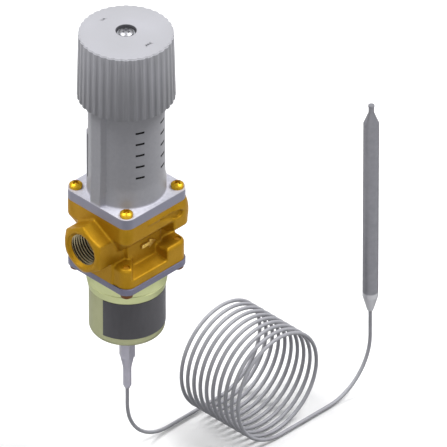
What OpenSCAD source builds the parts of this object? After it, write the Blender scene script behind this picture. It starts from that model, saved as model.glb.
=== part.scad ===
// Temperature-operated water valve with a remote bulb on a coiled capillary tube.
// The inlet port's mouth is the origin, water flows along +X and the spindle points up.
// Most modules draw on the spindle axis, at the height of the port axis.

/* [Ports] */
// Length from port face to port face
face_to_face = 72; // [64:1:90]
// Width of the port hexagons across their flats
port_af = 27; // [26:0.5:30]
// Length of each hexagon outside the block
port_boss_l = 11; // [8:0.5:16]
// Diameter of the pipe thread, crest to crest of the pipe
port_thread_d = 20.955; // [16.662:0.001:21.5]
// Length of the pipe thread
port_thread_l = 14; // [11:0.5:16]
// Diameter of the slanting water passages
passage_d = 10.5; // [8:0.5:11]

/* [Valve body] */
// Width of the square flanges
flange_w = 50; // [48:1:56]
// Corner radius of the square flanges
flange_r = 6; // [4:0.5:7]
// Distance from a flange's edge to its screw centres
screw_inset = 5; // [4.5:0.1:5.4]
// Height of the body's top face above the port axis
body_up = 19.6; // [18.5:0.1:24]
// Depth of the body's bottom face below the port axis
body_down = 21.7; // [20:0.1:25]
// Thickness of the upper flange of the body
upper_block_t = 10.6; // [8:0.2:12]
// Thickness of the lower flange of the body
lower_block_t = 6.5; // [5:0.1:9]
// Outer radius of the round core
core_r = 19; // [18:0.1:21]
// Radius of the two water chambers
chamber_r = 15.5; // [14.5:0.1:16]
// Thickness of the wall between the chambers
partition_t = 8; // [7:0.5:9]
// Height of the lower corner bosses above the lower flange
boss_h = 6.2; // [5:0.2:8]
// How far the forged lower flange stands back from the cover's edge
block_inset = 0.6; // [0.3:0.1:0.9]

/* [Seat and spindle] */
// Bore of the valve seat
seat_bore_d = 16; // [13:0.5:17]
// Outer diameter of the seat ring
seat_ring_d = 20; // [19:0.5:22]
// Length of the seat ring
seat_ring_l = 4; // [3:0.2:5]
// How far the seat ring stands above the wall between the chambers
seat_lip = 1; // [0.6:0.1:1.4]
// Diameter of the valve spindle
stem_d = 6; // [5:0.1:7]
// Diameter of the shoulder on the valve spindle
shoulder_d = 11; // [10:0.5:13]
// Thickness of the shoulder
shoulder_t = 1.5; // [1:0.1:2.2]
// Thickness of the rubber seal under the cone
seal_t = 2; // [1.5:0.1:2.5]
// Outer diameter of the seal and the cone
cone_d = 19; // [18.5:0.5:22]
// Lift of the valve from closed to fully open
valve_lift = 4; // [2:0.5:4.5]

/* [Diaphragms] */
// Outer radius of both diaphragms
diaphragm_r = 20.5; // [19.5:0.1:21]
// Thickness of both diaphragms
diaphragm_t = 1.2; // [0.8:0.1:1.5]
// Depth of the upper diaphragm's dish
upper_dish = 4; // [3:0.1:4.4]
// Depth of the lower diaphragm's dish
lower_dish = 3.5; // [2.5:0.1:4]

/* [Spring housing] */
// Thickness of the housing flange
housing_flange_t = 6.4; // [5:0.1:9]
// Height of the sleeve above the flange
sleeve_h = 65; // [62:1:80]
// Distance from the flange's edge to the collar at the sleeve's foot
collar_inset = 2.7; // [2.4:0.1:3.2]
// Height of the collar above the flange
collar_h = 9.8; // [6:0.2:14]
// How far the collar stands out from the sleeve
collar_step = 0.6; // [0.3:0.1:0.9]
// How much narrower the sleeve is at its top than at its foot
sleeve_draft = 0.2; // [0.1:0.1:0.6]
// Wall of the sleeve at its top
sleeve_wall = 3.5; // [3:0.1:4.2]
// Thickness of the roof that holds the threaded bush
roof_t = 7.5; // [6:0.5:9]
// Width of the pointer rib's outer face
rib_w = 7.2; // [5:0.2:9]
// How far the rib stands out from the sleeve's top
rib_out = 2.3; // [1.6:0.1:2.6]
// How much wider the rib is at its root, on each side
rib_flank = 1.8; // [0.6:0.1:2.4]
// Height of the rib's thicker foot above the flange
rib_foot_h = 24; // [12:1:32]
// Height of the guide pad above the flange
pad_h = 37.8; // [20:0.2:45]

/* [Hand knob] */
// How far the knob screws down
knob_travel = 36; // [24:1:37]
// Clearance between the rib and the knob's skirt
knob_gap = 1.2; // [0.6:0.1:1.6]
// Wall of the knob's skirt at its lower rim
knob_wall = 2.6; // [2.2:0.1:4]
// How much narrower the knob is at its top edge than at its rim
knob_draft = 1; // [0.4:0.1:1.2]
// Height of the low cone on top
knob_crown = 1.8; // [1:0.1:2.5]
// Thickness of the knob's top at its edge
knob_top_t = 2.5; // [2:0.1:4]
// How far the skirt covers the sleeve when the knob is fully up
knob_overlap = 1.9; // [1:0.1:4]
// Number of grip flutes
flute_count = 36; // [20:1:45]
// Depth of the flutes
flute_depth = 0.55; // [0.3:0.05:0.8]
// Diameter of the pocket for the knob screw
knob_pocket_d = 11.5; // [11:0.1:14]

/* [Setting screw and spring] */
// Diameter of the setting spindle
setting_d = 10; // [8:0.5:10.4]
// Diameter of the head under the knob
setting_head_d = 14; // [13:0.5:18]
// Thickness of the head under the knob
setting_head_t = 2.2; // [1.8:0.1:3]
// Diameter of the spring's wire
spring_wire_d = 2.1; // [1.6:0.1:2.4]
// Mean diameter of the spring
spring_d = 28; // [27:0.5:30]
// Number of turns of the spring
spring_turns = 5.5; // [4:0.5:6]

/* [Lower cover and bellows] */
// Thickness of the lower cover plate
cover_t = 4.1; // [3:0.1:6]
// Length of the crimped ring
ring_l = 13.2; // [11:0.2:18]
// Distance from the flange's edge to the bellows housing
can_inset = 3.5; // [2.8:0.1:4]
// How far the crimped ring stands out from the bellows housing
ring_out = 1.4; // [1.2:0.1:1.8]
// Height of the bellows housing with its ring
can_l = 43.8; // [38:0.2:55]
// Wall of the bellows housing
can_wall = 1; // [0.8:0.1:1.5]
// Radius of the housing's bottom edge
can_edge_r = 4; // [3:0.5:6]
// Clearance between the bellows and its housing
bellows_gap = 2.8; // [1.5:0.1:4.5]
// Number of bellows convolutions
bellows_folds = 9; // [6:1:12]
// Diameter of the push pin
pin_d = 6; // [5:0.1:7]
// Height of the dark band on the bellows housing
band_h = 23.8; // [15:0.2:26]

/* [Gland] */
// Width of the gland's hexagon across its flats
gland_af = 8; // [7:0.5:11]
// Length of the gland's hexagon
gland_l = 20; // [12:0.2:24]
// Length of the gland's cone
gland_cone_l = 8; // [4:0.5:9]
// Diameter of the ferrule
ferrule_d = 4.8; // [4.2:0.1:5.4]
// Length of the ferrule
ferrule_l = 14; // [11:0.5:16]

/* [Capillary and bulb] */
// Diameter of the capillary tube
tube_d = 2.2; // [1.8:0.1:2.6]
// Straight drop from the port axis to the first bend
tube_drop = 123; // [121:0.1:130]
// Radius of the coil and of the two bends
coil_r = 32.5; // [26:0.1:36]
// Distance between neighbouring turns
coil_pitch = 5; // [4:0.1:7]
// Number of turns
coil_turns = 10; // [4:1:12]
// Straight length before the coil
lead_in = 39.1; // [34:0.1:60]
// Straight length after the coil
lead_out = 39.3; // [34:0.1:60]
// Diameter of the bulb
bulb_d = 9; // [7:0.1:12]
// Length of the bulb's straight part
bulb_l = 118.3; // [80:0.1:150]
// Length of the bulb's lower cone
bulb_foot_l = 10; // [8:0.1:14]
// Length of the bulb's upper cone
bulb_shoulder_l = 7.5; // [4:0.1:10]
// Length of the sealed filling neck
bulb_neck_l = 4.9; // [3:0.1:8]
// Height of the bulb's foot above the coil's axis
bulb_lead = 17.6; // [12:0.2:30]

/* [Screws] */
// Diameter of the screw heads
screw_head_d = 7.4; // [6:0.1:8]
// Height of the screw heads
screw_head_h = 3.6; // [2.4:0.1:4]
// Diameter of the cylindrical heads under the cover
cover_head_d = 7; // [6:0.1:7.4]
// Height of the cylindrical heads under the cover
cover_head_h = 3; // [2.4:0.1:3.6]
// Diameter of the screw shanks
screw_d = 4; // [3:0.1:4.2]

/* [Hidden] */
$fn = 72;
cut = 0.5;            // how far a cutter runs past a face
fit_gap = 0.05;       // radial clearance of a part in its hole
thread_gap = 0.08;    // radial clearance of the setting spindle in its bush

brass = [0.70, 0.52, 0.14];
steel = [0.75, 0.76, 0.78];
knob_grey = [0.55, 0.55, 0.56];
sleeve_grey = [0.47, 0.47, 0.49];
flange_blue = [0.62, 0.62, 0.70];
zinc_green = [0.80, 0.83, 0.58];
dark_grey = [0.29, 0.29, 0.30];
gold = [0.85, 0.70, 0.18];
rubber_black = [0.12, 0.12, 0.12];

axis_x = face_to_face / 2;
block_x = face_to_face / 2 - port_boss_l;
half_w = flange_w / 2;
half_screw = half_w - screw_inset;

// Heights of the seat, the spindle and the diaphragms
partition_top = partition_t / 2;
seat_top = partition_top + seat_lip;
cone_foot = seat_top + seal_t;
upper_rim_z = body_up - diaphragm_t;
upper_pad_z = upper_rim_z - upper_dish;
lower_rim_z = -body_down;
lower_pad_z = lower_rim_z + lower_dish;
lower_pad_top = lower_pad_z + diaphragm_t;
pad_r = 6;
hinge_r = 15;
seal_nut_d = 10;
seal_nut_t = 2.5;
diaphragm_nut_af = 10;
diaphragm_nut_t = 3;

// Heights of the spring housing and the knob
housing_top = body_up + housing_flange_t;
sleeve_top = housing_top + sleeve_h;
collar_r = half_w - collar_inset;
collar_top = housing_top + collar_h;
sleeve_foot_r = collar_r - collar_step;
sleeve_top_r = sleeve_foot_r - sleeve_draft;
sleeve_bore_r = sleeve_top_r - sleeve_wall;
foot_fillet = 1;
rib_reach = sleeve_top_r + rib_out;
rib_root = sleeve_top_r - 0.8;
pad_from = 128;
pad_sweep = 14;
top_gap = 1;
head_gap = 0.8;
roof_top = sleeve_top - (setting_head_t + head_gap - top_gap);
roof_under = roof_top - roof_t;
bush_r = setting_d / 2 + 3;
knob_rim_z = sleeve_top - knob_overlap;
knob_inner_z = sleeve_top + knob_travel + top_gap;
knob_top_z = knob_inner_z + knob_top_t;
knob_h = knob_top_z - knob_rim_z;
knob_bore_r = rib_reach + knob_gap;
knob_rim_r = knob_bore_r + knob_wall;
knob_top_r = knob_rim_r - knob_draft;
knob_slope = atan(knob_draft / knob_h);
knob_pocket_z = knob_inner_z + 1.6;
knob_hole_d = 1.5;
knob_hole_pitch = 35;
flute_r = 1.9;
knob_washer_t = 0.6;
knob_washer_r = knob_pocket_d / 2 - 0.7;
knob_screw_head_r = 4.2;
knob_screw_head_h = 2.1;
knob_screw_r = 2;
knob_screw_l = 12;

// Spring and its seats
seat_gap = 0.7;
seat_disc_r = sleeve_bore_r - 0.9;
seat_disc_t = 1.8;
guide_r = spring_d / 2 - spring_wire_d / 2 - 0.75;
upper_seat_top = roof_under - seat_gap;
spring_top = upper_seat_top - seat_disc_t;
cup_h = 8.5;
cup_floor_t = 2.5;
cup_floor_z = spring_top - cup_h + cup_floor_t;
thrust_washer_t = 1.5;
thrust_washer_r = setting_d / 2 + 0.2;
setting_end_z = cup_floor_z + thrust_washer_t;
lower_seat_z = housing_top - 3.5;
lower_seat_t = 2;
spring_bottom = lower_seat_z + lower_seat_t;
lower_guide_h = 4.5;

// Cover, bellows and gland
cover_z = -body_down - cover_t;
spigot_h = 2;
can_r = half_w - can_inset;
ring_r = can_r + ring_out;
ring_bore_r = can_r - can_wall - 0.8;
ring_step_l = 9.2;
ring_step_z = cover_z - ring_step_l;
ring_foot_z = cover_z - ring_l;
can_base_z = cover_z - can_l;
can_floor_t = 2;
bellows_r = can_r - can_wall - bellows_gap;
bellows_wall = 0.4;
bellows_foot_z = can_base_z + can_floor_t;
bellows_fold_d = 4;
bellows_head_t = 1.5;
pin_foot_r = 8;
pin_foot_t = 2;
pin_foot_gap = 0.6;
pin_foot_top = cover_z - spigot_h - valve_lift - pin_foot_gap;
bellows_head_z = pin_foot_top - pin_foot_t;
band_t = 0.3;
band_from = 187;
band_sweep = 166;
band_drop = 13.8;
gas_bore_r = 0.6;
gland_foot_z = can_base_z - gland_l;
ferrule_top_z = gland_foot_z - gland_cone_l;
ferrule_foot_z = ferrule_top_z - ferrule_l;
ferrule_taper_l = 2;

// Capillary route, on the spindle axis
tube_in = 6;
tube_hole_r = tube_d / 2 + 0.02;
tube_start_z = ferrule_foot_z + tube_in;
coil_z = -tube_drop;
coil_x = coil_r + lead_in;
coil_y = -coil_pitch * coil_turns;
bulb_x = coil_x + lead_out + coil_r;
bulb_y = coil_y;
bulb_tip_z = coil_z + bulb_lead;
bulb_tip_r = tube_d / 2 + 0.6;
bulb_neck_r = 1.6;
ring_sides = 8;
rings_per_turn = 24;

boss_top_z = -body_down + lower_block_t + boss_h;
head_edge = 0.4;

module on_axis() translate([axis_x, 0, 0]) children();

// A square plate with round corners, standing on z
module square_plate(w, r, z, t)
    translate([0, 0, z]) linear_extrude(t) rounded_square(w, r);

module rounded_square(w, r) {
    square([w - 2 * r, w], center = true);
    square([w, w - 2 * r], center = true);
    for (x = [-1, 1], y = [-1, 1]) translate([x * (w / 2 - r), y * (w / 2 - r)]) circle(r);
}

// A round bar between two heights
module bar(r, z1, z2) translate([0, 0, z1]) cylinder(r = r, h = z2 - z1);

module tube_between(r_out, r_in, z1, z2) difference() {
    bar(r_out, z1, z2);
    bar(r_in, z1 - cut, z2 + cut);
}

module at_screws() for (x = [-half_screw, half_screw], y = [-half_screw, half_screw])
    translate([x, y, 0]) children();

// A cross recess sunk into a head whose top is at z = 0
module cross_recess(r, depth) {
    arm = r / 2.6;
    for (a = [0, 90]) rotate(a) translate([-r * 0.62, -arm / 2, -depth])
        cube([r * 1.24, arm, depth + cut]);
}

// A domed screw head whose seat is at z = 0
module domed_head(r, h) {
    dome_r = (r * r + h * h) / (2 * h) + r * 0.35;
    difference() {
        intersection() {
            cylinder(r = r, h = h);
            translate([0, 0, h - dome_r]) sphere(dome_r);
        }
        translate([0, 0, h]) cross_recess(r, h * 0.55);
    }
}

// A cylindrical head with a broken edge and a hexagon socket, whose seat is at z = 0
module socket_head(r, h) difference() {
    rotate_extrude() polygon([[0, 0], [r, 0], [r, h - head_edge], [r - head_edge, h], [0, h]]);
    translate([0, 0, h * 0.45]) cylinder(r = r * 0.48, h = h, $fn = 6);
}

// A wall of revolution that follows a dished diaphragm from its rim to its pad
module dished_disc(r_in, rim_z, pad_z)
    rotate_extrude() polygon([
        [diaphragm_r, rim_z], [diaphragm_r, rim_z + diaphragm_t],
        [hinge_r, rim_z + diaphragm_t], [pad_r, pad_z + diaphragm_t], [r_in, pad_z + diaphragm_t],
        [r_in, pad_z], [pad_r, pad_z], [hinge_r, rim_z]]);

// Points and faces of a round tube swept along a route that never runs along Y
function unit(v) = v / norm(v);
function heading(p, i) =
    unit(p[min(i + 1, len(p) - 1)] - p[max(i - 1, 0)]);
function ring_points(p, i, r, sides) =
    let (t = heading(p, i), u = unit(cross(t, [0, 1, 0])), v = cross(u, t))
    [for (k = [0:sides - 1]) p[i] + r * (cos(360 * k / sides) * u + sin(360 * k / sides) * v)];

module swept_tube(p, r, sides) {
    n = len(p);
    points = [for (i = [0:n - 1]) each ring_points(p, i, r, sides)];
    walls = [for (i = [0:n - 2], k = [0:sides - 1])
        let (a = i * sides + k, b = i * sides + (k + 1) % sides)
        each [[a, a + sides, b], [b, a + sides, b + sides]]];
    first_cap = [for (k = [0:sides - 1]) k];
    last_cap = [for (k = [sides - 1:-1:0]) (n - 1) * sides + k];
    polyhedron(points, concat([first_cap], walls, [last_cap]));
}

// Hand knob, setting screw and its spring
module knob_blank() rotate_extrude() polygon([
    [0, knob_pocket_z], [knob_pocket_d / 2, knob_pocket_z],
    [knob_pocket_d / 2, knob_top_z + knob_crown * (1 - knob_pocket_d / 2 / knob_top_r)],
    [knob_top_r, knob_top_z], [knob_rim_r, knob_rim_z], [knob_bore_r, knob_rim_z],
    [knob_bore_r - knob_draft / 2, knob_inner_z], [0, knob_inner_z]]);

module hand_knob() color(knob_grey) on_axis() difference() {
    knob_blank();
    for (i = [0:flute_count - 1]) rotate(360 * i / flute_count)
        translate([knob_rim_r + flute_r - flute_depth, 0, knob_rim_z - cut])
            rotate([0, -knob_slope, 0]) cylinder(r = flute_r, h = knob_h + 3 * cut, $fn = 24);
    bar(knob_screw_r + fit_gap, knob_inner_z - cut, knob_pocket_z + cut);
    for (y = [-1, 1]) translate([0, y * knob_hole_pitch / 2, 0])
        bar(knob_hole_d / 2, knob_inner_z - cut, knob_top_z + knob_crown);
}

module knob_screw() color(steel) on_axis() {
    translate([0, 0, knob_pocket_z + knob_washer_t])
        domed_head(knob_screw_head_r, knob_screw_head_h);
    bar(knob_screw_r, knob_inner_z - knob_screw_l, knob_pocket_z + knob_washer_t);
}

module knob_washer() color(steel) on_axis()
    tube_between(knob_washer_r, knob_screw_r + fit_gap, knob_pocket_z,
                 knob_pocket_z + knob_washer_t);

module setting_spindle() color(steel) on_axis() difference() {
    union() {
        bar(setting_d / 2, setting_end_z, knob_inner_z - setting_head_t);
        bar(setting_head_d / 2, knob_inner_z - setting_head_t, knob_inner_z);
    }
    bar(knob_screw_r + fit_gap, knob_inner_z - knob_screw_l - 1, knob_inner_z + cut);
}

module thread_bush() color(brass) on_axis()
    tube_between(bush_r, setting_d / 2 + thread_gap, roof_under, roof_top);

module upper_spring_seat() color(steel) on_axis() difference() {
    union() {
        bar(seat_disc_r, spring_top, upper_seat_top);
        bar(guide_r, spring_top - cup_h, spring_top + cut);
    }
    bar(thrust_washer_r + 0.2, cup_floor_z, upper_seat_top + cut);
}

module thrust_washer() color(brass) on_axis()
    bar(thrust_washer_r, cup_floor_z, setting_end_z);

spring_turn_points = 20;
spring_points = [for (i = [0:spring_turns * spring_turn_points])
    let (turn = i / spring_turn_points,
         share = min(max((turn - 0.75) / (spring_turns - 1.5), 0), 1),
         low = spring_bottom + spring_wire_d / 2 + fit_gap + min(turn, 0.75) * spring_wire_d,
         high = spring_top - spring_bottom - (2 * 0.75 + 1) * spring_wire_d - 2 * fit_gap,
         last = max(turn - (spring_turns - 0.75), 0) * spring_wire_d)
    [spring_d / 2 * cos(360 * turn), spring_d / 2 * sin(360 * turn), low + share * high + last]];

// Rings of a coil that winds about Z, each set square to the wire by its radius
module setting_spring() color(steel) on_axis() {
    n = len(spring_points);
    sides = 6;
    points = [for (i = [0:n - 1])
        let (p = spring_points[i], t = heading(spring_points, i), u = unit([p[0], p[1], 0]),
             v = unit(cross(t, u)), w = cross(v, t))
        each [for (k = [0:sides - 1])
            p + spring_wire_d / 2 * (cos(360 * k / sides) * w + sin(360 * k / sides) * v)]];
    walls = [for (i = [0:n - 2], k = [0:sides - 1])
        let (a = i * sides + k, b = i * sides + (k + 1) % sides)
        each [[a, b, a + sides], [b, b + sides, a + sides]]];
    polyhedron(points, concat([[for (k = [sides - 1:-1:0]) k]], walls,
                              [[for (k = [0:sides - 1]) (n - 1) * sides + k]]));
}

module lower_spring_seat() color(steel) on_axis() {
    bar(seat_disc_r, lower_seat_z, spring_bottom);
    bar(guide_r, spring_bottom - cut, spring_bottom + lower_guide_h);
}

// Collar with a chamfered top and a fillet at its foot, and the drafted sleeve above it
module sleeve_blank() rotate_extrude() {
    polygon([[0, body_up], [collar_r, body_up], [collar_r, collar_top - collar_step],
             [sleeve_foot_r, collar_top], [sleeve_top_r, sleeve_top], [0, sleeve_top]]);
    translate([collar_r - thin, housing_top - thin]) difference() {
        square(foot_fillet + thin);
        translate([foot_fillet + thin, foot_fillet + thin]) circle(foot_fillet);
    }
}

// Outline of the pointer rib, wider at its root, from inside the sleeve out to a given reach
module rib_outline(reach) polygon([
    [-sleeve_bore_r - thin, -rib_w / 2 - rib_flank], [-rib_root, -rib_w / 2 - rib_flank],
    [-reach, -rib_w / 2], [-reach, rib_w / 2], [-rib_root, rib_w / 2 + rib_flank],
    [-sleeve_bore_r - thin, rib_w / 2 + rib_flank]]);

// Spring housing: flange, collar, sleeve, recessed roof, pointer rib with its foot, guide pad
module spring_housing() color(sleeve_grey) on_axis() difference() {
    union() {
        square_plate(flange_w, flange_r, body_up, housing_flange_t);
        sleeve_blank();
        translate([0, 0, body_up]) linear_extrude(sleeve_top - body_up) rib_outline(rib_reach);
        translate([0, 0, body_up]) linear_extrude(housing_flange_t + rib_foot_h)
            rib_outline(half_w);
        translate([0, 0, body_up]) rotate(pad_from) rotate_extrude(angle = pad_sweep)
            translate([sleeve_bore_r + 1, 0])
                square([collar_r - sleeve_bore_r - 1, housing_flange_t + pad_h]);
    }
    bar(sleeve_bore_r, body_up - cut, roof_under);
    bar(sleeve_bore_r, roof_top, sleeve_top + cut);
    bar(bush_r, roof_under - cut, roof_top + cut);
    at_screws() bar(screw_d / 2 + fit_gap, body_up - cut, housing_top + cut);
}

module housing_screws() color(gold) on_axis() at_screws() {
    translate([0, 0, housing_top]) domed_head(screw_head_d / 2, screw_head_h);
    bar(screw_d / 2, body_up - upper_block_t + 1.2, housing_top);
}

// Diaphragms, spindle, cone and seat
module upper_diaphragm() color(rubber_black) on_axis()
    dished_disc(stem_d / 2 + fit_gap, upper_rim_z, upper_pad_z);

module lower_diaphragm() color(rubber_black) on_axis()
    dished_disc(0, lower_rim_z, lower_pad_z);

module diaphragm_nut() color(steel) on_axis()
    translate([0, 0, upper_pad_z + diaphragm_t]) difference() {
        cylinder(d = diaphragm_nut_af / cos(30), h = diaphragm_nut_t, $fn = 6);
        bar(stem_d / 2 + fit_gap, -cut, diaphragm_nut_t + cut);
    }

module valve_spindle() color(steel) on_axis() {
    bar(stem_d / 2, lower_pad_top, lower_seat_z);
    bar(shoulder_d / 2, upper_pad_z - shoulder_t, upper_pad_z);
}

module valve_cone() color(brass) on_axis() difference() {
    rotate_extrude() polygon([
        [0, cone_foot], [cone_d / 2, cone_foot], [cone_d / 2, cone_foot + 1],
        [shoulder_d / 2, cone_foot + 3.5], [shoulder_d / 2, upper_pad_z - shoulder_t],
        [0, upper_pad_z - shoulder_t]]);
    bar(stem_d / 2 + fit_gap, cone_foot - cut, upper_pad_z);
}

module cone_seal() color(rubber_black) on_axis()
    tube_between(cone_d / 2, stem_d / 2 + fit_gap, seat_top, cone_foot);

module seal_nut() color(brass) on_axis()
    tube_between(seal_nut_d / 2, stem_d / 2 + fit_gap, seat_top - seal_nut_t, seat_top);

module seat_ring() color(steel) on_axis()
    tube_between(seat_ring_d / 2, seat_bore_d / 2, seat_top - seat_ring_l, seat_top);

// Cast body: two square flanges on a round core, hexagon ports and four corner bosses
panel_y = core_r;
panel_left = 15;
panel_right = 8;
upper_taper_in = 4.8;
upper_taper_h = 9.5;
lower_taper_in = 6;
lower_taper_h = 3.2;
thin = 0.1;
boss_reach = half_w - block_inset;
boss_edge = 1.5;
boss_left_cut = 4.4;
boss_right_from = 7.2;
boss_right_to = 7.9;
corner_out = 0.75;
corner_l = 13;
corner_levels = [[body_up - 0.2, 0], [body_up - 4, corner_out],
                 [body_up - 17, corner_out], [body_up - 20.8, -5.3]];
ridge_out = 0.6;
ridge_left = [[-7.6, 15.9], [-7, 15.6], [12.2, 15.6], [12.2, 16.8], [-7, 16.8], [-7.6, 16.5]];
ridge_right = [[12, 15.6], [14.3, 15.5], [16.3, 14.9], [17.7, 13.6], [18.6, 14.4], [17, 15.9],
               [14.5, 16.7], [12, 16.8]];
pocket_depth = 1.3;
pocket_points = [[-1, 15.4], [14.5, 15.4], [17.6, 14.3], [18.8, 12.4], [18.2, 10.6],
                 [15.6, 9.9], [8, 12.2]];
arrow_t = 0.7;
arrow_l = 12;
arrow_head_l = 5.5;
arrow_head_w = 6.8;
arrow_shaft_w = 2.8;
arrow_x = -9;

module tapered_underside(z, dir, w, taper_in, taper_h) hull() {
    square_plate(w, flange_r, dir > 0 ? z - thin : z, thin, $fn = 32);
    square_plate(w - 2 * taper_in, flange_r, dir > 0 ? z + taper_h - thin : z - taper_h,
                 thin, $fn = 32);
}

// The full height of the lower corners, with their outer edges broken
module corner_block() {
    square_plate(2 * boss_reach, flange_r, -body_down, lower_block_t + boss_h - boss_edge);
    hull() {
        square_plate(2 * boss_reach, flange_r, boss_top_z - boss_edge - thin, thin, $fn = 32);
        square_plate(2 * (boss_reach - boss_edge), flange_r - boss_edge, boss_top_z - thin, thin,
                     $fn = 32);
    }
}

// Bosses over two lower screws: cut off at 45 degrees beside the inlet, square beside the outlet
module lower_bosses() difference() {
    intersection() {
        corner_block();
        translate([0, 0, -body_down]) linear_extrude(lower_block_t + boss_h) {
            polygon([[-half_w, -half_w], [boss_left_cut - half_w, -half_w],
                     [boss_left_cut - port_af / 2, -port_af / 2], [-half_w, -port_af / 2]]);
            polygon([[boss_right_from, -port_af / 2], [boss_right_to, -half_w],
                     [half_w, -half_w], [half_w, -port_af / 2]]);
        }
    }
    translate([boss_right_to, -half_w, boss_top_z]) rotate([0, 45, 3])
        translate([-boss_edge * sqrt(2) / 2, -cut, -boss_edge * sqrt(2) / 2])
            cube([boss_edge * sqrt(2), half_w - port_af / 2 + cut, boss_edge * sqrt(2)]);
}

// A thicker corner on the outlet side, which runs from the upper flange down beside the port
module outlet_corner() hull() for (level = corner_levels) {
    reach = half_w + level[1];
    round_r = max(screw_inset + level[1], 1);
    translate([reach - round_r, round_r - reach, level[0]])
        cylinder(r = round_r, h = thin, $fn = 32);
    translate([reach - round_r - thin, -port_af / 2 - thin, level[0]])
        cube([round_r + thin, thin, thin]);
    translate([half_w - corner_l, -reach, level[0]])
        cube([thin, reach - port_af / 2, thin]);
}

// A thin ridge along the front of the upper flange, which turns down at the outlet corner
module front_ridge() for (part = [[ridge_left, ridge_out], [ridge_right, corner_out + ridge_out]])
    translate([0, 1 - half_w, 0]) rotate([90, 0, 0]) linear_extrude(1 + part[1]) polygon(part[0]);

// The shallow pocket under that ridge
module ridge_pocket() translate([0, -half_w + pocket_depth, 0]) rotate([90, 0, 0])
    linear_extrude(pocket_depth + corner_out + cut) polygon(pocket_points);

module port_boss() intersection() {
    rotate([0, 90, 0]) cylinder(d = port_af / cos(30), h = axis_x, $fn = 6);
    union() {
        rotate([0, 90, 0]) cylinder(d = 2 * port_af, h = axis_x - 2);
        translate([axis_x - 2, 0, 0]) rotate([0, 90, 0])
            cylinder(r1 = port_af / 2 + 2.6, r2 = port_af / 2 - 0.9, h = 2);
    }
}

module body_blank() {
    square_plate(flange_w, flange_r, body_up - upper_block_t, upper_block_t);
    tapered_underside(body_up - upper_block_t, -1, flange_w, upper_taper_in, upper_taper_h);
    square_plate(2 * boss_reach, flange_r, -body_down, lower_block_t);
    tapered_underside(-body_down + lower_block_t, 1, 2 * boss_reach, lower_taper_in,
                      lower_taper_h);
    bar(core_r, -body_down, body_up);
    translate([-block_x, -port_af / 2, -body_down])
        cube([2 * block_x, port_af, body_up - upper_block_t + body_down]);
    translate([-panel_left, -panel_y, -body_down])
        cube([panel_left + panel_right, 2 * panel_y, body_up + body_down]);
    for (side = [0, 1]) mirror([0, side, 0]) {
        lower_bosses();
        outlet_corner();
    }
    for (side = [0, 1]) mirror([side, 0, 0]) port_boss();
}

// A slanting passage from the inlet thread down into the lower chamber
module slant_passage() {
    run = axis_x - port_thread_l - chamber_r / 2;
    drop = partition_t / 2 + passage_d / 2;
    angle = atan2(drop, run);
    translate([-(axis_x - port_thread_l), 0, 0]) rotate([0, 90 + angle, 0])
        translate([0, 0, -2]) cylinder(d = passage_d, h = norm([run, drop]) + 2);
}

module flow_arrow() translate([arrow_x, -panel_y, 0]) rotate([90, 0, 0])
    linear_extrude(arrow_t) {
        translate([0, -arrow_shaft_w / 2]) square([arrow_l - arrow_head_l + thin, arrow_shaft_w]);
        translate([arrow_l - arrow_head_l, 0])
            polygon([[0, -arrow_head_w / 2], [arrow_head_l, 0], [0, arrow_head_w / 2]]);
    }

module valve_body() color(brass) on_axis() {
    difference() {
        body_blank();
        bar(chamber_r, partition_top, body_up + cut);
        bar(chamber_r, -body_down - cut, -partition_top);
        bar(diaphragm_r + fit_gap, upper_rim_z, body_up + cut);
        bar(diaphragm_r + fit_gap, -body_down - cut, -body_down + diaphragm_t);
        bar(seat_bore_d / 2, -partition_top - cut, partition_top + cut);
        bar(seat_ring_d / 2, seat_top - seat_ring_l, partition_top + cut);
        ridge_pocket();
        slant_passage();
        rotate([0, 180, 0]) slant_passage();
        for (side = [0, 1]) mirror([side, 0, 0]) translate([axis_x - port_thread_l, 0, 0])
            rotate([0, 90, 0]) cylinder(d = port_thread_d, h = port_thread_l + cut);
        at_screws() bar(screw_d / 2 + fit_gap, body_up - upper_block_t + 1, body_up + cut);
        at_screws() bar(screw_d / 2 + fit_gap, -body_down - cut, boss_top_z + cut);
    }
    flow_arrow();
    front_ridge();
}

// Lower cover, its bush and screws, and the push pin
module lower_cover() color(flange_blue) on_axis() difference() {
    union() {
        square_plate(flange_w, flange_r, cover_z, cover_t);
        bar(ring_bore_r - fit_gap, cover_z - spigot_h, cover_z + cut);
    }
    bar(pin_d / 2 + 2.5, cover_z - spigot_h - cut, -body_down + cut);
    at_screws() bar(screw_d / 2 + fit_gap, cover_z - cut, -body_down + cut);
}

module guide_bush() color(brass) on_axis()
    tube_between(pin_d / 2 + 2.5, pin_d / 2 + fit_gap, cover_z - spigot_h, -body_down);

module cover_screws() color(dark_grey) on_axis() at_screws() {
    translate([0, 0, cover_z]) mirror([0, 0, 1]) socket_head(cover_head_d / 2, cover_head_h);
    bar(screw_d / 2, cover_z, boss_top_z - 1);
}

module push_pin() color(steel) on_axis() {
    bar(pin_d / 2, bellows_head_z, lower_pad_z);
    bar(pin_foot_r, bellows_head_z, pin_foot_top);
}

// Bellows, its housing and the crimped ring that joins the housing to the cover
module crimp_ring() color(zinc_green) on_axis() rotate_extrude() polygon([
    [ring_bore_r, cover_z], [ring_r, cover_z], [ring_r, cover_z - 7.8],
    [ring_r - 0.5, cover_z - 8.2], [ring_r - 0.1, cover_z - 8.6],
    [can_r + 0.4, ring_foot_z], [can_r + fit_gap, ring_foot_z],
    [can_r + fit_gap, ring_step_z], [ring_bore_r, ring_step_z]]);

// Half section of a cup with a round outer edge at its foot
module cup_section(r, z1, z2, edge) {
    translate([0, z1 + edge]) square([r, z2 - z1 - edge]);
    translate([0, z1]) square([r - edge, edge + cut]);
    intersection() {
        translate([r - edge, z1 + edge]) circle(edge);
        translate([0, z1]) square([r, edge + cut]);
    }
}

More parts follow.
